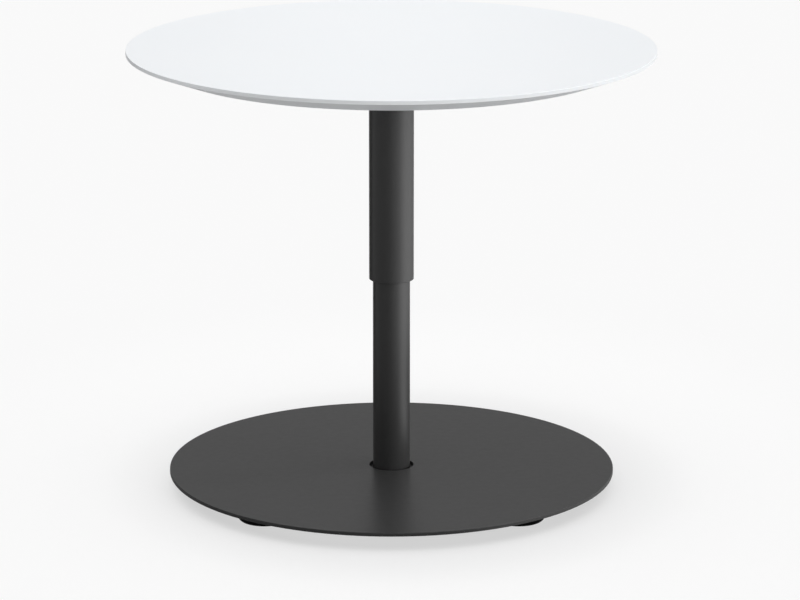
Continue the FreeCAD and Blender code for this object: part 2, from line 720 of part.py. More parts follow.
def main():
    """Build every node of the table and write it out."""
    os.makedirs("parts", exist_ok=True)

    # Standing base
    save("base_plate", base_plate())
    foot_names = ["foot_rear_right", "foot_rear_left", "foot_front_left", "foot_front_right"]
    for name, place in zip(foot_names, foot_places):
        save(name, foot().translated(FreeCAD.Vector(place[0], place[1], 0)))
    save("foot_studs", foot_studs())
    save("column_flange", column_flange())
    save("flange_studs", flange_studs())
    save("flange_washers", flange_washers())
    save("flange_nuts", flange_nuts())
    save("lower_tube", lower_tube())
    save("guide_bush", guide_bush())
    save("upper_glide_ring", upper_glide_ring())
    save("bearing_seat", bearing_seat())
    save("bearing_lower_race", bearing_race(seat_top))
    save("bearing_cage", bearing_cage())
    save("bearing_balls", bearing_balls())

    # Rod that turns on the bearing
    save("bearing_upper_race", bearing_race(upper_race_bottom))
    save("piston_rod", piston_rod())
    save("piston", piston())
    save("piston_seal", piston_seal())
    save("rubber_bumper", rubber_bumper())
    save("clip_washer", clip_washer())
    save("retaining_clip", retaining_clip())

    # Lifting column head and tabletop
    save("gas_cylinder", gas_cylinder())
    save("rod_guide", rod_guide())
    save("upper_tube", upper_tube())
    save("lower_glide_ring", lower_glide_ring())
    save("release_head", release_head())
    save("head_screws", head_screws())
    save("pivot_pin", pivot_pin())
    save("top_plate", top_plate())
    save("top_screws", top_screws())
    save("tabletop_core", tabletop_core())
    save("tabletop_laminate", tabletop_laminate())
    save("tabletop_backing", tabletop_backing())

    # Release
    save("release_lever", release_lever())
    save("lever_grip", lever_grip())
    save("release_button", release_button())


main()
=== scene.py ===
"""Looks of a round pedestal table on a telescoping gas-lift column."""

import json
import logging
import math
from dataclasses import dataclass, field
from enum import Enum
from typing import Callable, Dict, Sequence, Tuple, Union

import bmesh
import bpy
from mathutils import Matrix, Vector


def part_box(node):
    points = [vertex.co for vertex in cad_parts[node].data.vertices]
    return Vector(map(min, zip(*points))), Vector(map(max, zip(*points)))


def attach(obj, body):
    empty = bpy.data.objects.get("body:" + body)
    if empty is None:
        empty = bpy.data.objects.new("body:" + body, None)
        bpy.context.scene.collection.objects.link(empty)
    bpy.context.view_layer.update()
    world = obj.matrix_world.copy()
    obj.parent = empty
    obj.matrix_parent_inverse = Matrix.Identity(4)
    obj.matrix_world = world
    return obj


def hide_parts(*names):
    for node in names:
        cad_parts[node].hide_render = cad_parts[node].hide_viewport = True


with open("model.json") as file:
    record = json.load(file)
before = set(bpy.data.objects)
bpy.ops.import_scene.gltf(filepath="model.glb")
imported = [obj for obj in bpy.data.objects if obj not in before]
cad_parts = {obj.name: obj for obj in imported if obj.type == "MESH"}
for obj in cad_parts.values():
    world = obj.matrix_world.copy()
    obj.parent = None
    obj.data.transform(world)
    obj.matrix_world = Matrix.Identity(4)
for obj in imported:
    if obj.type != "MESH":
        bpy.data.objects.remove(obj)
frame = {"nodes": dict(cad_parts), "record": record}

MM = 0.001
WHITE = "#FFFFFF"

# Fine structure of the noises, and the part of their range that their patches mostly stay within.
COLOUR_DETAIL = 3.0
FINE_DETAIL = 2.0
NOISE_REACH = (0.3, 0.7)

log = logging.getLogger("pedestal_table")

NodeInput = Union[bpy.types.NodeSocket, float, Tuple[float, ...]]


class Body(Enum):
    """Rigid bodies of the table that a new piece can ride on."""

    TOP = "top"


class Reach(Enum):
    """Which pieces a light falls on."""

    ONLY = "INCLUDE"
    ALL_BUT = "EXCLUDE"


class Effect(Enum):
    """How a light shows on what it falls on."""

    SHEEN = "in reflections alone"
    TONE = "on dull surfaces alone"
    BOTH = "in reflections and on dull surfaces"

    def give(self, light: bpy.types.Object) -> None:
        """Set a light up to show in this way."""
        light.visible_glossy = self is not Effect.TONE
        light.visible_diffuse = self is not Effect.SHEEN


class Slot(Enum):
    """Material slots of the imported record."""

    POWDER_COAT = "powder_coat"
    BLACK_PLASTIC = "black_plastic"
    BLACK_ACETAL = "black_acetal"
    WHITE_NYLON = "white_nylon"
    ZINC_PLATE = "zinc_plate"
    MACHINED_STEEL = "machined_steel"
    HARDENED_STEEL = "hardened_steel"
    HARD_CHROME = "hard_chrome"
    BLACK_ENAMEL = "black_enamel"
    CAST_ALUMINIUM = "cast_aluminium"
    RUBBER = "rubber"
    BRASS = "brass"
    WHITE_LAMINATE = "white_laminate"
    WHITE_LACQUERED_BOARD = "white_lacquered_board"


def linear(colour: str) -> Tuple[float, float, float, float]:
    """Turn an sRGB hex colour into a linear colour with full alpha.

    Args:
        colour: Six hex digits after a hash sign.

    Returns:
        Linear red, green, blue and alpha.
    """
    channels = [int(colour[start:start + 2], 16) / 255 for start in (1, 3, 5)]
    red, green, blue = [c / 12.92 if c <= 0.04045 else ((c + 0.055) / 1.055) ** 2.4 for c in channels]
    return red, green, blue, 1.0


def per_size(size_mm: float) -> float:
    """Texture scale, in Object coordinates, that repeats about once in a size given in millimetres."""
    return 1.0 / (size_mm * MM)


def towards(azimuth_deg: float, elevation_deg: float) -> Vector:
    """Point in a direction seen from the middle of the studio.

    Args:
        azimuth_deg: Direction from the camera's side round to the right.
        elevation_deg: Height over the horizon.

    Returns:
        The direction, one metre long.
    """
    azimuth = math.radians(azimuth_deg)
    elevation = math.radians(elevation_deg)
    return Vector((
        math.sin(azimuth) * math.cos(elevation),
        -math.cos(azimuth) * math.cos(elevation),
        math.sin(elevation),
    ))


def add_node(tree: bpy.types.NodeTree, kind: str, settings: Dict[str, object],
             inputs: Dict[Union[str, int], NodeInput]) -> bpy.types.Node:
    """Add one node with its settings, socket values and links.

    Args:
        tree: Node tree that gets the node.
        kind: Blender's name for the node's type.
        settings: Attributes of the node itself.
        inputs: Input sockets by name or number, each with a value or the socket that feeds it.

    Returns:
        The new node.
    """
    node = tree.nodes.new(kind)
    for name, value in settings.items():
        setattr(node, name, value)
    for name, value in inputs.items():
        if isinstance(value, bpy.types.NodeSocket):
            tree.links.new(value, node.inputs[name])
        else:
            node.inputs[name].default_value = value
    return node


@dataclass(frozen=True)
class Finish:
    """A surface finish: a base colour that drifts a little, and a fine relief that catches the light.

    Attributes:
        name: The material's common name and how its surface was made.
        colour: Base colour, sRGB hex.
        drift_colour: Second colour that the base colour drifts towards.
        drift_mm: Size of the colour patches.
        roughness: Lowest and highest roughness.
        roughness_mm: Size of the patches that differ in gloss.
        relief_mm: Size of the bumps.
        relief_height_mm: Height of the bumps.
        metallic: 1 for bare metal, 0 for everything else.
        specular: Strength of the reflection on what isn't metal.
        stretch: How much the relief is drawn out along X, Y and Z.
    """

    name: str
    colour: str
    drift_colour: str
    drift_mm: float
    roughness: Tuple[float, float]
    roughness_mm: float
    relief_mm: float
    relief_height_mm: float
    metallic: float = 0.0
    specular: float = 0.5
    stretch: Tuple[float, float, float] = (1.0, 1.0, 1.0)

    def material(self) -> bpy.types.Material:
        """Build the node material of this finish.

        Returns:
            The new material.
        """
        material = bpy.data.materials.new(self.name)
        material.use_nodes = True
        tree = material.node_tree
        tree.nodes.clear()
        place = add_node(tree, "ShaderNodeTexCoord", {}, {}).outputs["Object"]
        shader = add_node(tree, "ShaderNodeBsdfPrincipled", {}, {
            "Metallic": self.metallic,
            "Specular IOR Level": self.specular,
            "Base Color": self.colour_socket(tree, place),
            "Roughness": self.roughness_socket(tree, place),
            "Normal": self.relief_socket(tree, place),
        })
        add_node(tree, "ShaderNodeOutputMaterial", {}, {"Surface": shader.outputs["BSDF"]})
        material.diffuse_color = linear(self.colour)
        return material

    def colour_socket(self, tree: bpy.types.NodeTree, place: bpy.types.NodeSocket) -> bpy.types.NodeSocket:
        """Mix the two colours by a soft noise.

        Args:
            tree: The material's node tree.
            place: Object coordinates.

        Returns:
            The mixed colour.
        """
        patches = add_node(tree, "ShaderNodeTexNoise", {}, {
            "Vector": place,
            "Scale": per_size(self.drift_mm),
            "Detail": COLOUR_DETAIL,
        })
        return add_node(tree, "ShaderNodeMix", {"data_type": "RGBA"}, {
            "Factor": patches.outputs["Fac"],
            "A": linear(self.colour),
            "B": linear(self.drift_colour),
        }).outputs["Result"]

    def roughness_socket(self, tree: bpy.types.NodeTree, place: bpy.types.NodeSocket) -> bpy.types.NodeSocket:
        """Vary the gloss between the two roughness values.

        Args:
            tree: The material's node tree.
            place: Object coordinates.

        Returns:
            The roughness.
        """
        patches = add_node(tree, "ShaderNodeTexNoise", {}, {
            "Vector": place,
            "Scale": per_size(self.roughness_mm),
            "Detail": FINE_DETAIL,
        })
        return add_node(tree, "ShaderNodeMapRange", {}, {
            "Value": patches.outputs["Fac"],
            "From Min": NOISE_REACH[0],
            "From Max": NOISE_REACH[1],
            "To Min": self.roughness[0],
            "To Max": self.roughness[1],
        }).outputs["Result"]

    def relief_socket(self, tree: bpy.types.NodeTree, place: bpy.types.NodeSocket) -> bpy.types.NodeSocket:
        """Raise the fine bumps.

        Args:
            tree: The material's node tree.
            place: Object coordinates.

        Returns:
            The bumped normal.
        """
        drawn = add_node(tree, "ShaderNodeMapping", {}, {
            "Vector": place,
            "Scale": tuple(1.0 / amount for amount in self.stretch),
        })
        bumps = add_node(tree, "ShaderNodeTexNoise", {}, {
            "Vector": drawn.outputs["Vector"],
            "Scale": per_size(self.relief_mm),
            "Detail": FINE_DETAIL,
        })
        return add_node(tree, "ShaderNodeBump", {}, {
            "Height": bumps.outputs["Fac"],
            "Distance": self.relief_height_mm * MM,
            "Strength": 1.0,
        }).outputs["Normal"]


# In all finishes, grain and rings that are too fine for the render are drawn as coarse as they need to show.

# Powder coat sprayed dry and baked on steel: dark grey, satin, with the faint grain of melted powder.
POWDER_COAT = Finish("satin_powder_coat_on_steel", "#333333", "#353535", 60.0, (0.30, 0.33), 9.0,
                     1.4, 0.0045, specular=0.3)

# High-pressure laminate pressed against a fine matt plate: cool white with a soft even sheen.
WHITE_LAMINATE = Finish("matt_white_laminate", "#F4F7FA", "#F6F8FA", 180.0, (0.40, 0.46), 30.0,
                        1.2, 0.006, specular=0.3)

# Lacquer sprayed on the board's shaped edge: white, with a slight orange peel.
WHITE_LACQUER = Finish("white_lacquer_on_fibreboard", "#ECEFF1", "#EFF1F3", 90.0, (0.34, 0.44), 14.0,
                       3.2, 0.010, specular=0.5)

# Polypropylene moulded in a spark-eroded tool: black with a dull fine grain.
BLACK_PLASTIC = Finish("moulded_black_polypropylene", "#050505", "#080808", 25.0, (0.48, 0.60), 5.0,
                       0.9, 0.030, specular=0.18)

# Acetal turned from bar: smooth black, slightly waxy.
BLACK_ACETAL = Finish("turned_black_acetal", "#101011", "#161617", 20.0, (0.30, 0.38), 6.0,
                      0.8, 0.008, stretch=(8.0, 8.0, 1.0))

# Natural nylon moulded without pigment: milky off-white.
WHITE_NYLON = Finish("moulded_natural_nylon", "#DAD7CC", "#E2DFD5", 10.0, (0.40, 0.50), 4.0, 0.6, 0.010)

# Zinc electroplated on steel: bright, faintly blue, clouded by the passivation.
ZINC_PLATE = Finish("zinc_plated_steel", "#B9BEC4", "#CDD0D2", 7.0, (0.26, 0.40), 4.0,
                    0.8, 0.006, metallic=1.0)

# Steel left as turned: fine rings round the part.
TURNED_STEEL = Finish("turned_mild_steel", "#8F9092", "#A3A4A5", 12.0, (0.28, 0.38), 5.0,
                      0.5, 0.010, metallic=1.0, stretch=(12.0, 12.0, 1.0))

# Bearing steel hardened and ground: close to a mirror.
GROUND_STEEL = Finish("ground_bearing_steel", "#A7A9AB", "#B3B4B6", 9.0, (0.12, 0.20), 4.0,
                      0.5, 0.002, metallic=1.0)

# Hard chrome polished on the rod: bright and clean.
HARD_CHROME = Finish("polished_hard_chrome", "#CFD2D4", "#D8DADB", 15.0, (0.08, 0.13), 6.0,
                     0.6, 0.001, metallic=1.0, stretch=(1.0, 1.0, 20.0))

# Stoving enamel on the cylinder: gloss black.
BLACK_ENAMEL = Finish("gloss_black_stoving_enamel", "#0A0A0B", "#0E0E0F", 40.0, (0.16, 0.22), 12.0,
                      4.0, 0.006)

# Aluminium bar turned to size: pale with fine rings.
TURNED_ALUMINIUM = Finish("turned_aluminium", "#C2C4C6", "#CDCFD0", 10.0, (0.28, 0.36), 5.0,
                          0.5, 0.010, metallic=1.0, stretch=(12.0, 12.0, 1.0))

# Nitrile rubber moulded: black and dull.
NITRILE_RUBBER = Finish("moulded_nitrile_rubber", "#0D0D0D", "#141414", 10.0, (0.62, 0.75), 4.0,
                        0.7, 0.015, specular=0.3)

# Free-cutting brass turned to size: warm yellow with fine rings.
TURNED_BRASS = Finish("turned_brass", "#C9A255", "#D3AF66", 8.0, (0.22, 0.30), 4.0,
                      0.4, 0.006, metallic=1.0, stretch=(12.0, 12.0, 1.0))

FINISH_OF_SLOT: Dict[Slot, Finish] = {
    Slot.POWDER_COAT: POWDER_COAT,
    Slot.BLACK_PLASTIC: BLACK_PLASTIC,
    Slot.BLACK_ACETAL: BLACK_ACETAL,
    Slot.WHITE_NYLON: WHITE_NYLON,
    Slot.ZINC_PLATE: ZINC_PLATE,
    Slot.MACHINED_STEEL: TURNED_STEEL,
    Slot.HARDENED_STEEL: GROUND_STEEL,
    Slot.HARD_CHROME: HARD_CHROME,
    Slot.BLACK_ENAMEL: BLACK_ENAMEL,
    Slot.CAST_ALUMINIUM: TURNED_ALUMINIUM,
    Slot.RUBBER: NITRILE_RUBBER,
    Slot.BRASS: TURNED_BRASS,
    Slot.WHITE_LAMINATE: WHITE_LAMINATE,
    Slot.WHITE_LACQUERED_BOARD: WHITE_LACQUER,
}


@dataclass
class Wardrobe:
    """Keeps one material for each slot and dresses nodes and pieces in them."""

    materials: Dict[Slot, bpy.types.Material] = field(default_factory=dict)

    def material(self, slot: Slot) -> bpy.types.Material:
        """The material of a slot, built the first time it is asked for."""
        if slot not in self.materials:
            self.materials[slot] = FINISH_OF_SLOT[slot].material()
        return self.materials[slot]

    def dress(self, piece: bpy.types.Object, slot: Slot) -> None:
        """Give a piece the slot's material in place of what it has.

        Args:
            piece: Object to dress.
            slot: Material slot to dress it in.
        """
        piece.data.materials.clear()
        piece.data.materials.append(self.material(slot))

    def dress_frame(self) -> None:
        """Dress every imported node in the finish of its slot."""
        for part in frame["record"]["subparts"]:
            node = frame["nodes"][part["node"]]
            self.dress(node, Slot(part["material_slot"]))
            log.info("dressed %s in %s", part["node"], part["material_slot"])


class Bench:
    """Hand moves that the modelled pieces share."""

    @staticmethod
    def clear() -> None:
        """Deselect every object, so that the next operator touches only its own piece."""
        bpy.ops.object.select_all(action="DESELECT")

    @staticmethod
    def pick(piece: bpy.types.Object, wanted: Callable[[Vector], bool]) -> None:
        """Select, in edit mode, the points of a piece that stand where they are wanted.

        Args:
            piece: Object in edit mode.
            wanted: Test of a point's place, in the piece's own coordinates.
        """
        bpy.ops.mesh.select_all(action="DESELECT")
        mesh = bmesh.from_edit_mesh(piece.data)
        for point in mesh.verts:
            if wanted(point.co):
                point.select_set(True)
        mesh.select_flush(True)
        bmesh.update_edit_mesh(piece.data)

    @staticmethod
    def settle(piece: bpy.types.Object, sharp_deg: float) -> None:
        """Put a piece's place into its mesh and shade it smooth up to an angle.

        Args:
            piece: Finished piece, in object mode.
            sharp_deg: Edges sharper than this stay crisp.
        """
        Bench.clear()
        piece.select_set(True)
        bpy.context.view_layer.objects.active = piece
        bpy.ops.object.transform_apply(location=True, rotation=True, scale=True)
        bpy.ops.object.shade_smooth_by_angle(angle=math.radians(sharp_deg))


@dataclass
class PanHeadScrews:
    """The screws that hold the top plate under the tabletop, with a cross recess in each head.

    Attributes:
        count: Screws on the circle.
        circle_mm: Radius of the circle.
        head_mm: Diameter of the head.
        head_height_mm: Height of the head.
        shank_mm: Diameter of the shank.
        shank_length_mm: Length of the shank with its point.
        point_mm: Length of the point.
        tip_share: Width of the point's tip, as a share of the shank's.
        recess_mm: Width of the recess from end to end.
        recess_arm_mm: Width of one arm of the recess.
        recess_depth_mm: Depth of the recess.
        recess_taper: Share of those two widths that is left at the recess's bottom.
        sides: Flat sides that make up the round of head and shank.
        round_steps: Steps of the head's rounded edge.
        sharp_deg: Edges sharper than this stay crisp.
    """

    count: int = 8
    circle_mm: float = 100.0
    head_mm: float = 9.5
    head_height_mm: float = 3.0
    shank_mm: float = 5.0
    shank_length_mm: float = 15.0
    point_mm: float = 3.0
    tip_share: float = 0.1
    recess_mm: float = 5.2
    recess_arm_mm: float = 1.3
    recess_depth_mm: float = 1.8
    recess_taper: Tuple[float, float] = (0.45, 0.8)
    sides: int = 36
    round_steps: int = 4
    sharp_deg: float = 40.0

    def build(self, wardrobe: Wardrobe) -> None:
        """Model one screw, copy it round the circle and dress the copies.

        Args:
            wardrobe: Keeper of the materials.
        """
        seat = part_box("top_plate")[0][2]
        first = self.model_screw(seat)
        self.cut_recess(first, seat - self.head_height_mm * MM)
        Bench.settle(first, self.sharp_deg)
        for number in range(self.count):
            screw = first.copy()
            screw.data = first.data.copy()
            screw.name = f"pan_head_screw_{number + 1}"
            turn = Matrix.Rotation(2.0 * math.pi * (number + 0.5) / self.count, 4, "Z")
            screw.data.transform(turn @ Matrix.Translation((self.circle_mm * MM, 0.0, 0.0)))
            bpy.context.collection.objects.link(screw)
            wardrobe.dress(screw, Slot.ZINC_PLATE)
            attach(screw, Body.TOP.value)
            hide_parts("top_screws")
            log.info("modelled %s", screw.name)
        bpy.data.objects.remove(first)

    def model_screw(self, seat: float) -> bpy.types.Object:
        """Shape the head's rounded edge, the shank and the point.

        Args:
            seat: Height of the face that the head bears on, in metres.

        Returns:
            The screw, standing on the Z axis.
        """
        half_height = self.head_height_mm * MM / 2.0
        Bench.clear()
        bpy.ops.mesh.primitive_cylinder_add(
            vertices=self.sides, radius=self.head_mm * MM / 2.0, depth=2.0 * half_height,
            location=(0.0, 0.0, seat - half_height))
        screw = bpy.context.object
        bpy.ops.object.mode_set(mode="EDIT")
        Bench.pick(screw, lambda place: place.z < -half_height / 2.0)
        bpy.ops.mesh.bevel(offset=half_height, segments=self.round_steps, affect="EDGES")
        Bench.pick(screw, lambda place: place.z > half_height / 2.0)
        bpy.ops.mesh.inset(thickness=(self.head_mm - self.shank_mm) * MM / 2.0)
        plain_length = (self.shank_length_mm - self.point_mm) * MM
        bpy.ops.mesh.extrude_region_move(TRANSFORM_OT_translate={"value": (0.0, 0.0, plain_length)})
        bpy.ops.mesh.extrude_region_move(TRANSFORM_OT_translate={"value": (0.0, 0.0, self.point_mm * MM)})
        bpy.ops.transform.resize(value=(self.tip_share, self.tip_share, 1.0))
        bpy.ops.object.mode_set(mode="OBJECT")
        return screw

    def cut_recess(self, screw: bpy.types.Object, head_face: float) -> None:
        """Cut the cross recess with two crossed, tapered bars.

        Args:
            screw: The screw to cut.
            head_face: Height of the head's outer face, in metres.
        """
        depth = self.recess_depth_mm * MM
        Bench.clear()
        bpy.ops.mesh.primitive_cube_add(size=1.0, location=(0.0, 0.0, head_face))
        bar = bpy.context.object
        bpy.ops.object.mode_set(mode="EDIT")
        bpy.ops.transform.resize(value=(self.recess_mm * MM, self.recess_arm_mm * MM, 2.0 * depth))
        Bench.pick(bar, lambda place: place.z > 0.0)
        bpy.ops.transform.resize(value=(*self.recess_taper, 1.0))
        bpy.ops.mesh.select_all(action="SELECT")
        bpy.ops.mesh.duplicate()
        bpy.ops.transform.rotate(
            value=math.pi / 2.0, orient_axis="Z", center_override=(0.0, 0.0, head_face))
        bpy.ops.object.mode_set(mode="OBJECT")
        Bench.clear()
        screw.select_set(True)
        bpy.context.view_layer.objects.active = screw
        recess = screw.modifiers.new("recess", "BOOLEAN")
        recess.operation = "DIFFERENCE"
        recess.solver = "EXACT"
        recess.use_self = True
        recess.object = bar
        bpy.ops.object.modifier_apply(modifier=recess.name)
        bpy.data.objects.remove(bar)


@dataclass
class WeldBead:
    """A rippled fillet weld that runs round a tube where it meets a flat face and stops at the back.

    Attributes:
        name: Name of the bead.
        body: Body that the bead rides on.
        tube_mm: Diameter of the tube.
        seam: Height of the flat face, in metres.
        side: 1 where the bead lies over the flat face, -1 where it lies under it.
        bead_mm: Radius of the bead.
        standoff_share: How far the bead's middle is from tube and face, as a share of its radius.
        ripple_mm: Height of the ripples.
        ripple_pitch_mm: Distance from one ripple to the next.
        opening_mm: Width of the opening at the back where the bead stops.
        ripple_rings: Rings of points along one ripple.
        ring_points: Points on one ring.
        sharp_deg: Edges sharper than this stay crisp.
    """

    name: str
    body: Body
    tube_mm: float
    seam: float
    side: int
    bead_mm: float = 2.3
    standoff_share: float = 0.55
    ripple_mm: float = 0.35
    ripple_pitch_mm: float = 3.0
    opening_mm: float = 20.0
    ripple_rings: int = 4
    ring_points: int = 12
    sharp_deg: float = 60.0

    def build(self, wardrobe: Wardrobe) -> None:
        """Lay the bead, raise its ripples, open it where it stops and dress it.

        Args:
            wardrobe: Keeper of the materials.
        """
        standoff = self.standoff_share * self.bead_mm
        seam_radius = (self.tube_mm / 2.0 + standoff) * MM
        rings = self.ripple_rings * round(2.0 * math.pi * seam_radius / (self.ripple_pitch_mm * MM))
        Bench.clear()
        bpy.ops.mesh.primitive_torus_add(
            major_segments=rings, minor_segments=self.ring_points, major_radius=seam_radius,
            minor_radius=self.bead_mm * MM, location=(0.0, 0.0, self.seam + self.side * standoff * MM))
        bead = bpy.context.object
        bead.name = self.name
        bpy.ops.object.mode_set(mode="EDIT")
        Bench.pick(bead, lambda place: self.ring_in_ripple(place, rings) == 0)
        bpy.ops.transform.shrink_fatten(value=self.ripple_mm * MM)
        Bench.pick(bead, lambda place: self.ring_in_ripple(place, rings) == 1)
        bpy.ops.transform.shrink_fatten(value=-self.ripple_mm * MM / 2.0)
        half_opening = self.opening_mm * MM / 2.0
        Bench.pick(bead, lambda place: place.y > 0.0 and abs(place.x) < half_opening)
        bpy.ops.mesh.delete(type="VERT")
        bpy.ops.mesh.select_all(action="SELECT")
        bpy.ops.mesh.fill_holes(sides=0)
        bpy.ops.mesh.select_all(action="SELECT")
        bpy.ops.mesh.normals_make_consistent(inside=False)
        bpy.ops.object.mode_set(mode="OBJECT")
        Bench.settle(bead, self.sharp_deg)
        wardrobe.dress(bead, Slot.POWDER_COAT)
        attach(bead, self.body.value)
        log.info("modelled %s", self.name)

    def ring_in_ripple(self, place: Vector, rings: int) -> int:
        """Number, within its ripple, of the ring that a point of the bead is on."""
        return round(math.atan2(place.y, place.x) * rings / (2.0 * math.pi)) % self.ripple_rings


@dataclass
class PhotoCamera:
    """Camera at the photograph's viewing angle, fitted to the rims of the top and the base.

    Attributes:
        distance: From the column's axis, along -Y, in metres.
        height: Above the floor, in metres.
        pitch_deg: Downward tilt.
        lens_mm: Focal length on the sensor width below.
        sensor_mm: Sensor width.
        shift: Sideways and upward shift that frames the table as in the photograph.
    """

    distance: float = 4.975
    height: float = 1.5607
    pitch_deg: float = 14.79
    lens_mm: float = 172.58
    sensor_mm: float = 36.0
    shift: Tuple[float, float] = (0.01066, 0.0071)

    def build(self) -> None:
        """Add the camera and make it the scene's own."""
        data = bpy.data.cameras.new("photo_camera")
        data.lens = self.lens_mm
        data.sensor_width = self.sensor_mm
        data.shift_x, data.shift_y = self.shift
        camera = bpy.data.objects.new("photo_camera", data)
        camera.location = (0.0, -self.distance, self.height)
        camera.rotation_euler = (math.radians(90.0 - self.pitch_deg), 0.0, 0.0)
        bpy.context.collection.objects.link(camera)
        bpy.context.scene.camera = camera


def confine(light: bpy.types.Object, reach: Reach, pieces: Sequence[bpy.types.Object]) -> None:
    """Make a light fall on some pieces alone, or on all but them.

    Args:
        light: The light.
        reach: Whether the pieces are lit alone or left out.
        pieces: The pieces.
    """
    group = bpy.data.collections.new(f"{light.name}_{reach.name.lower()}")
    light.light_linking.receiver_collection = group
    for place, piece in enumerate(pieces):
        group.objects.link(piece)
        group.collection_objects[place].light_linking.link_state = reach.value


@dataclass(frozen=True)
class Softbox:
    """A broad, distant studio light.

    Attributes:
        name: Name of the light.
        strength: Strength of the light, in watts per square metre.
        width_deg: Apparent width of the light.
        azimuth_deg: Direction of the light, from the camera's side round to the right.
        elevation_deg: Height of the light over the horizon.
        effect: How the light shows.
        spares_floor: Whether the floor is left out of the light.
        lit_nodes: Names of the nodes that alone get the light, or none for everything.
    """

    name: str
    strength: float
    width_deg: float
    azimuth_deg: float
    elevation_deg: float
    effect: Effect = Effect.BOTH
    spares_floor: bool = False
    lit_nodes: Sequence[str] = ()

    def build(self, floor: bpy.types.Object) -> None:
        """Hang the light.

        Args:
            floor: The studio's floor.
        """
        data = bpy.data.lights.new(self.name, "SUN")
        data.energy = self.strength
        data.angle = math.radians(self.width_deg)
        light = bpy.data.objects.new(self.name, data)
        aim = towards(self.azimuth_deg, self.elevation_deg)
        light.rotation_euler = aim.to_track_quat("Z", "Y").to_euler()
        bpy.context.collection.objects.link(light)
        self.effect.give(light)
        if self.lit_nodes:
            confine(light, Reach.ONLY, [frame["nodes"][name] for name in self.lit_nodes])
        elif self.spares_floor:
            confine(light, Reach.ALL_BUT, [floor])


# Cards by the column: middle height and size in metres, fading border, and the nodes that they show in.
COLUMN_CARD_HEIGHT = 0.26
COLUMN_CARD_SIZE = (0.5, 0.5)
COLUMN_CARD_SOFT_EDGE = (0.5, 0.12)
COLUMN_NODES = ("upper_tube", "lower_tube")


@dataclass(frozen=True)
class ReflectionCard:
    """A lit card that fades out towards its edges and that the camera doesn't see.

    Attributes:
        name: Name of the card.
        place: Centre of the card, in metres.
        faces: Point that the card faces, in metres.
        size: Width and height, in metres.
        power: Power, in watts.
        soft_edge: Width of the fading border, as a share of the card's size.
        effect: How the card's light shows.
        lit_nodes: Names of the nodes that alone get the card's light, or none for everything.
    """

    name: str
    place: Tuple[float, float, float]
    faces: Tuple[float, float, float]
    size: Tuple[float, float]
    power: float
    soft_edge: Tuple[float, float] = (0.5, 0.5)
    effect: Effect = Effect.SHEEN
    lit_nodes: Sequence[str] = ()

    @classmethod
    def by_column(cls, azimuth_deg: float, distance: float, power: float) -> "ReflectionCard":
        """A card that stands between the base and the top and shows in the column alone.

        Args:
            azimuth_deg: Direction from the camera's side round to the right.
            distance: From the column's axis, in metres.
            power: Power, in watts.

        Returns:
            The card.
        """
        middle = Vector((0.0, 0.0, COLUMN_CARD_HEIGHT))
        place = middle + distance * towards(azimuth_deg, 0.0)
        return cls(f"column_card_{azimuth_deg:.0f}", tuple(place), tuple(middle), COLUMN_CARD_SIZE, power,
                   COLUMN_CARD_SOFT_EDGE, lit_nodes=COLUMN_NODES)

    def build(self) -> None:
        """Stand the card up and fade its light towards the edges."""
        data = bpy.data.lights.new(self.name, "AREA")
        data.shape = "RECTANGLE"
        data.size, data.size_y = self.size
        data.energy = self.power
        data.use_nodes = True
        tree = data.node_tree
        tree.nodes.clear()
        spot = add_node(tree, "ShaderNodeNewGeometry", {}, {}).outputs["Parametric"]
        across = add_node(tree, "ShaderNodeSeparateXYZ", {}, {"Vector": spot})
        strength = add_node(tree, "ShaderNodeMath", {"operation": "MULTIPLY"}, {
            0: self.fade(tree, across.outputs["X"], self.soft_edge[0]),
            1: self.fade(tree, across.outputs["Y"], self.soft_edge[1]),
        })
        glow = add_node(tree, "ShaderNodeEmission", {}, {"Strength": strength.outputs["Value"]})
        add_node(tree, "ShaderNodeOutputLight", {}, {"Surface": glow.outputs["Emission"]})
        card = bpy.data.objects.new(self.name, data)
        card.location = self.place
        aim = Vector(self.faces) - Vector(self.place)
        card.rotation_euler = aim.to_track_quat("-Z", "Y").to_euler()
        card.visible_camera = False
        self.effect.give(card)
        bpy.context.collection.objects.link(card)
        if self.lit_nodes:
            confine(card, Reach.ONLY, [frame["nodes"][name] for name in self.lit_nodes])

    @staticmethod
    def fade(tree: bpy.types.NodeTree, share: bpy.types.NodeSocket, border: float) -> bpy.types.NodeSocket:
        """Fade from full light in the card's middle to none at two of its edges.

        Args:
            tree: The light's node tree.
            share: Place across the card, from 0 at one edge to 1 at the other.
            border: Width of the fading border, as a share of the card.

        Returns:
            The light that is left, from 0 to 1.
        """
        middle = 0.5
        offset = add_node(tree, "ShaderNodeMath", {"operation": "SUBTRACT"}, {0: share, 1: middle})
        distance = add_node(tree, "ShaderNodeMath", {"operation": "ABSOLUTE"}, {0: offset.outputs["Value"]})
        return add_node(tree, "ShaderNodeMapRange", {"interpolation_type": "SMOOTHSTEP"}, {
            "Value": distance.outputs["Value"],
            "From Min": middle,
            "From Max": middle - border,
        }).outputs["Result"]


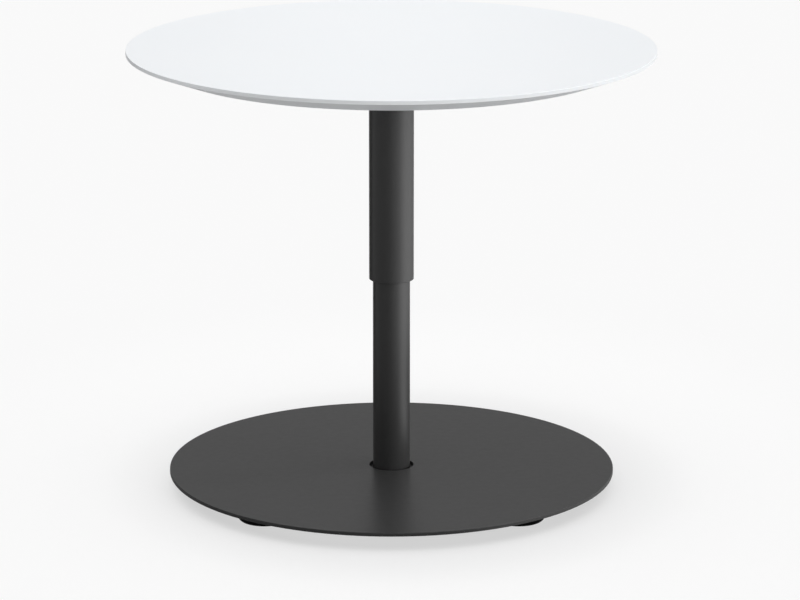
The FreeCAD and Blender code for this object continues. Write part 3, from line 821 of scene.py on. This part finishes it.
@dataclass
class Studio:
    """Pale paper floor under a soft dome, with broad lights and reflection cards.

    Attributes:
        floor_size: Width of the floor, in metres.
        floor_gap: Hair of space under the feet, in metres, that keeps the two faces apart.
        paper: Colour of the floor that lights the table from below, sRGB hex.
        mirrored_near_painted_shade: Colour of the floor close to the table in reflections, painted darker as
            shade, sRGB hex.
        mirrored_far: Colour of the floor farther off in reflections, sRGB hex.
        mirrored_reach: Distances between which the one passes into the other, in metres.
        mirrored_shade: Colour of the floor's shaded sector in reflections, sRGB hex.
        shade_azimuth_deg: Middle of that sector, from the camera's side round to the right.
        shade_spread_deg: Angles from its middle between which the shade fades.
        shadow_paper: Share of the floor's tone that shadows darken, sRGB hex.
        floor_glow: Share of the floor's tone that shadows leave alone, under the base, where it paints the
            shadow core lighter.
        painted_shadow_steps: Where that share changes, as two distances in metres and the share past them;
            these steps paint a shadow ring at the base's rim and painted light past it.
        painted_shadow_squeeze: How much the rings of that painted shadow are pressed together along X and Y.
        painted_shadow_shift: How far the painted shadow rings' middle lies from the column along X and Y, in
            metres.
        dome: Brightness of the dome.
        horizon: Brightness of the surroundings close to the floor, as reflections show them.
        horizon_reach: Heights, as sines of the angle, between which that passes into the dome's.
        backdrop: Brightness of the background that the camera sees.
        softboxes: The broad lights.
        cards: The reflection cards.
    """

    floor_size: float = 60.0
    floor_gap: float = 0.0002
    paper: str = "#CACACA"
    mirrored_near_painted_shade: str = "#8A8A8A"
    mirrored_far: str = "#D2D2D2"
    mirrored_reach: Tuple[float, float] = (0.35, 1.3)
    mirrored_shade: str = "#505050"
    shade_azimuth_deg: float = 225.0
    shade_spread_deg: Tuple[float, float] = (8.0, 28.0)
    shadow_paper: str = "#A4A4A4"
    # Painted shadow: the floor's glow steps down at the base's rim and up past it, painting the shadow's
    # shape round the base.
    floor_glow: float = 0.618
    painted_shadow_steps: Sequence[Tuple[float, float, float]] = (
        (0.27, 0.32, 0.574),
        (0.32, 0.46, 0.637),
        (0.46, 0.95, 0.592),
    )
    painted_shadow_squeeze: Tuple[float, float] = (1.076, 0.943)
    painted_shadow_shift: Tuple[float, float] = (0.012, 0.023)
    dome: float = 0.314
    horizon: float = 0.658
    horizon_reach: Tuple[float, float] = (0.03, 0.13)
    backdrop: float = 0.94
    softboxes: Sequence[Softbox] = (
        Softbox("overhead_softbox", 2.04, 100.0, 0.0, 90.0),
        Softbox("low_side_softbox", 2.40, 30.0, 75.0, 4.0, Effect.TONE, spares_floor=True),
        Softbox("rim_softbox", 10.0, 12.0, 105.0, 1.0, Effect.TONE,
                lit_nodes=("base_plate", "foot_front_right", "foot_rear_right")),
    )
    cards: Sequence[ReflectionCard] = (
        ReflectionCard.by_column(15.0, 0.46, 0.41),
        ReflectionCard.by_column(40.0, 0.46, 0.87),
        ReflectionCard.by_column(65.0, 0.46, 2.16),
        ReflectionCard.by_column(90.0, 0.46, 1.76),
        ReflectionCard.by_column(115.0, 0.60, 0.65),
        ReflectionCard.by_column(180.0, 0.46, 1.60),
        ReflectionCard("column_foot_card", (0.30, -0.08, 0.027), (0.30, -0.08, 1.0), (0.4, 0.5), 1.83,
                       lit_nodes=("lower_tube",)),
        ReflectionCard("rear_card", (0.0, 1.1, 0.9), (0.0, 0.0, 0.6), (1.0, 0.5), 0.95),
        ReflectionCard("under_fill", (0.0, 0.0, 0.001), (0.0, 0.0, 1.0), (0.6, 0.6), 0.9,
                       effect=Effect.BOTH),
    )

    def build(self) -> None:
        """Set up the floor, the dome, the lights and the cards."""
        floor = self.build_floor()
        self.build_dome()
        for light in self.softboxes:
            light.build(floor)
        for card in self.cards:
            card.build()
        bpy.context.scene.view_settings.view_transform = "Standard"

    def build_floor(self) -> bpy.types.Object:
        """Lay the paper floor, seen as white with a light shadow from above and a painted shadow round the
        base, with painted shade in reflections close to the table, and as clear from below.

        Returns:
            The floor.
        """
        Bench.clear()
        bpy.ops.mesh.primitive_plane_add(size=self.floor_size, location=(0.0, 0.0, -self.floor_gap))
        floor = bpy.context.object
        floor.name = "paper_floor"
        material = bpy.data.materials.new("matt_white_paper")
        material.use_nodes = True
        tree = material.node_tree
        tree.nodes.clear()
        spot = add_node(tree, "ShaderNodeNewGeometry", {}, {})
        place = spot.outputs["Position"]
        path = add_node(tree, "ShaderNodeLightPath", {}, {})
        mirrored = add_node(tree, "ShaderNodeMath", {"operation": "MAXIMUM"}, {
            0: path.outputs["Is Glossy Ray"],
            1: path.outputs["Is Transmission Ray"],
        })
        colour = add_node(tree, "ShaderNodeMix", {"data_type": "RGBA"}, {
            "Factor": mirrored.outputs["Value"],
            "A": linear(self.paper),
            "B": self.mirrored_colour(tree, place),
        })
        bounce = add_node(tree, "ShaderNodeBsdfDiffuse", {}, {"Color": colour.outputs["Result"]})
        shade = add_node(tree, "ShaderNodeBsdfDiffuse", {}, {"Color": linear(self.shadow_paper)})
        # The camera sees the floor's glow with its painted shadow rings, over the real shadow.
        glow = add_node(tree, "ShaderNodeEmission", {}, {"Strength": self.glow_with_painted_shadow(tree, place)})
        seen = add_node(tree, "ShaderNodeAddShader", {}, {
            0: shade.outputs["BSDF"],
            1: glow.outputs["Emission"],
        })
        surface = add_node(tree, "ShaderNodeMixShader", {}, {
            0: path.outputs["Is Camera Ray"],
            1: bounce.outputs["BSDF"],
            2: seen.outputs["Shader"],
        })
        clear = add_node(tree, "ShaderNodeBsdfTransparent", {}, {})
        paper = add_node(tree, "ShaderNodeMixShader", {}, {
            0: spot.outputs["Backfacing"],
            1: surface.outputs["Shader"],
            2: clear.outputs["BSDF"],
        })
        add_node(tree, "ShaderNodeOutputMaterial", {}, {"Surface": paper.outputs["Shader"]})
        floor.data.materials.append(material)
        return floor

    def mirrored_colour(self, tree: bpy.types.NodeTree, place: bpy.types.NodeSocket) -> bpy.types.NodeSocket:
        """Colour the floor as reflections show it, with painted shade close to the table and in the shaded
        sector.

        Args:
            tree: The floor's node tree.
            place: Place on the floor.

        Returns:
            The colour.
        """
        # Painted shade: reflections see the floor darker close to the table and in one sector at the back
        # left.
        distance = add_node(tree, "ShaderNodeVectorMath", {"operation": "LENGTH"}, {0: place})
        farness = add_node(tree, "ShaderNodeMapRange", {"interpolation_type": "SMOOTHSTEP"}, {
            "Value": distance.outputs["Value"],
            "From Min": self.mirrored_reach[0],
            "From Max": self.mirrored_reach[1],
        })
        all_round = add_node(tree, "ShaderNodeMix", {"data_type": "RGBA"}, {
            "Factor": farness.outputs["Result"],
            "A": linear(self.mirrored_near_painted_shade),
            "B": linear(self.mirrored_far),
        })
        outward = add_node(tree, "ShaderNodeVectorMath", {"operation": "NORMALIZE"}, {0: place})
        nearness = add_node(tree, "ShaderNodeVectorMath", {"operation": "DOT_PRODUCT"}, {
            0: outward.outputs["Vector"],
            1: towards(self.shade_azimuth_deg, 0.0),
        })
        shaded = add_node(tree, "ShaderNodeMapRange", {"interpolation_type": "SMOOTHSTEP"}, {
            "Value": nearness.outputs["Value"],
            "From Min": math.cos(math.radians(self.shade_spread_deg[1])),
            "From Max": math.cos(math.radians(self.shade_spread_deg[0])),
        })
        return add_node(tree, "ShaderNodeMix", {"data_type": "RGBA"}, {
            "Factor": shaded.outputs["Result"],
            "A": all_round.outputs["Result"],
            "B": linear(self.mirrored_shade),
        }).outputs["Result"]

    def glow_with_painted_shadow(self, tree: bpy.types.NodeTree, place: bpy.types.NodeSocket) -> NodeInput:
        """Set, in soft rings round the base, the share of the floor's tone that shadows leave alone, which
        paints a shadow ring at the rim and painted light past it.

        Args:
            tree: The floor's node tree.
            place: Place on the floor.

        Returns:
            The share.
        """
        middle = [-along * squeeze for along, squeeze in zip(self.painted_shadow_shift, self.painted_shadow_squeeze)]
        rings = add_node(tree, "ShaderNodeMapping", {}, {
            "Vector": place,
            "Location": (*middle, 0.0),
            "Scale": (*self.painted_shadow_squeeze, 1.0),
        })
        distance = add_node(tree, "ShaderNodeVectorMath", {"operation": "LENGTH"}, {
            0: rings.outputs["Vector"],
        })
        share: NodeInput = self.floor_glow
        for start, end, level in self.painted_shadow_steps:
            step = add_node(tree, "ShaderNodeMapRange", {"interpolation_type": "SMOOTHSTEP"}, {
                "Value": distance.outputs["Value"],
                "From Min": start,
                "From Max": end,
                "To Min": share,
                "To Max": level,
            })
            share = step.outputs["Result"]
        return share

    def build_dome(self) -> None:
        """Light the surroundings evenly, brighter close to the floor, with a pale backdrop behind."""
        world = bpy.data.worlds.new("studio_dome")
        world.use_nodes = True
        tree = world.node_tree
        tree.nodes.clear()
        direction = add_node(tree, "ShaderNodeTexCoord", {}, {}).outputs["Generated"]
        height = add_node(tree, "ShaderNodeSeparateXYZ", {}, {"Vector": direction}).outputs["Z"]
        background = add_node(tree, "ShaderNodeMapRange", {"interpolation_type": "SMOOTHSTEP"}, {
            "Value": height,
            "From Min": self.horizon_reach[0],
            "From Max": self.horizon_reach[1],
            "To Min": self.horizon,
            "To Max": self.dome,
        })
        path = add_node(tree, "ShaderNodeLightPath", {}, {})
        surroundings = add_node(tree, "ShaderNodeMix", {}, {
            "Factor": path.outputs["Is Diffuse Ray"],
            "A": background.outputs["Result"],
            "B": self.dome,
        })
        strength = add_node(tree, "ShaderNodeMix", {}, {
            "Factor": path.outputs["Is Camera Ray"],
            "A": surroundings.outputs["Result"],
            "B": self.backdrop,
        })
        sky = add_node(tree, "ShaderNodeBackground", {}, {
            "Color": linear(WHITE),
            "Strength": strength.outputs["Result"],
        })
        add_node(tree, "ShaderNodeOutputWorld", {}, {"Surface": sky.outputs["Background"]})
        bpy.context.scene.world = world


def main() -> None:
    """Dress the table, light it and set the camera."""
    logging.basicConfig(level=logging.INFO, format="%(name)s: %(message)s")
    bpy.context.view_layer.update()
    wardrobe = Wardrobe()
    wardrobe.dress_frame()
    PanHeadScrews().build(wardrobe)
    plate_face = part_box("top_plate")[0][2]
    WeldBead("upper_tube_weld", Body.TOP, tube_mm=60.0, seam=plate_face, side=-1).build(wardrobe)
    Studio().build()
    PhotoCamera().build()


if __name__ == "__main__":
    main()
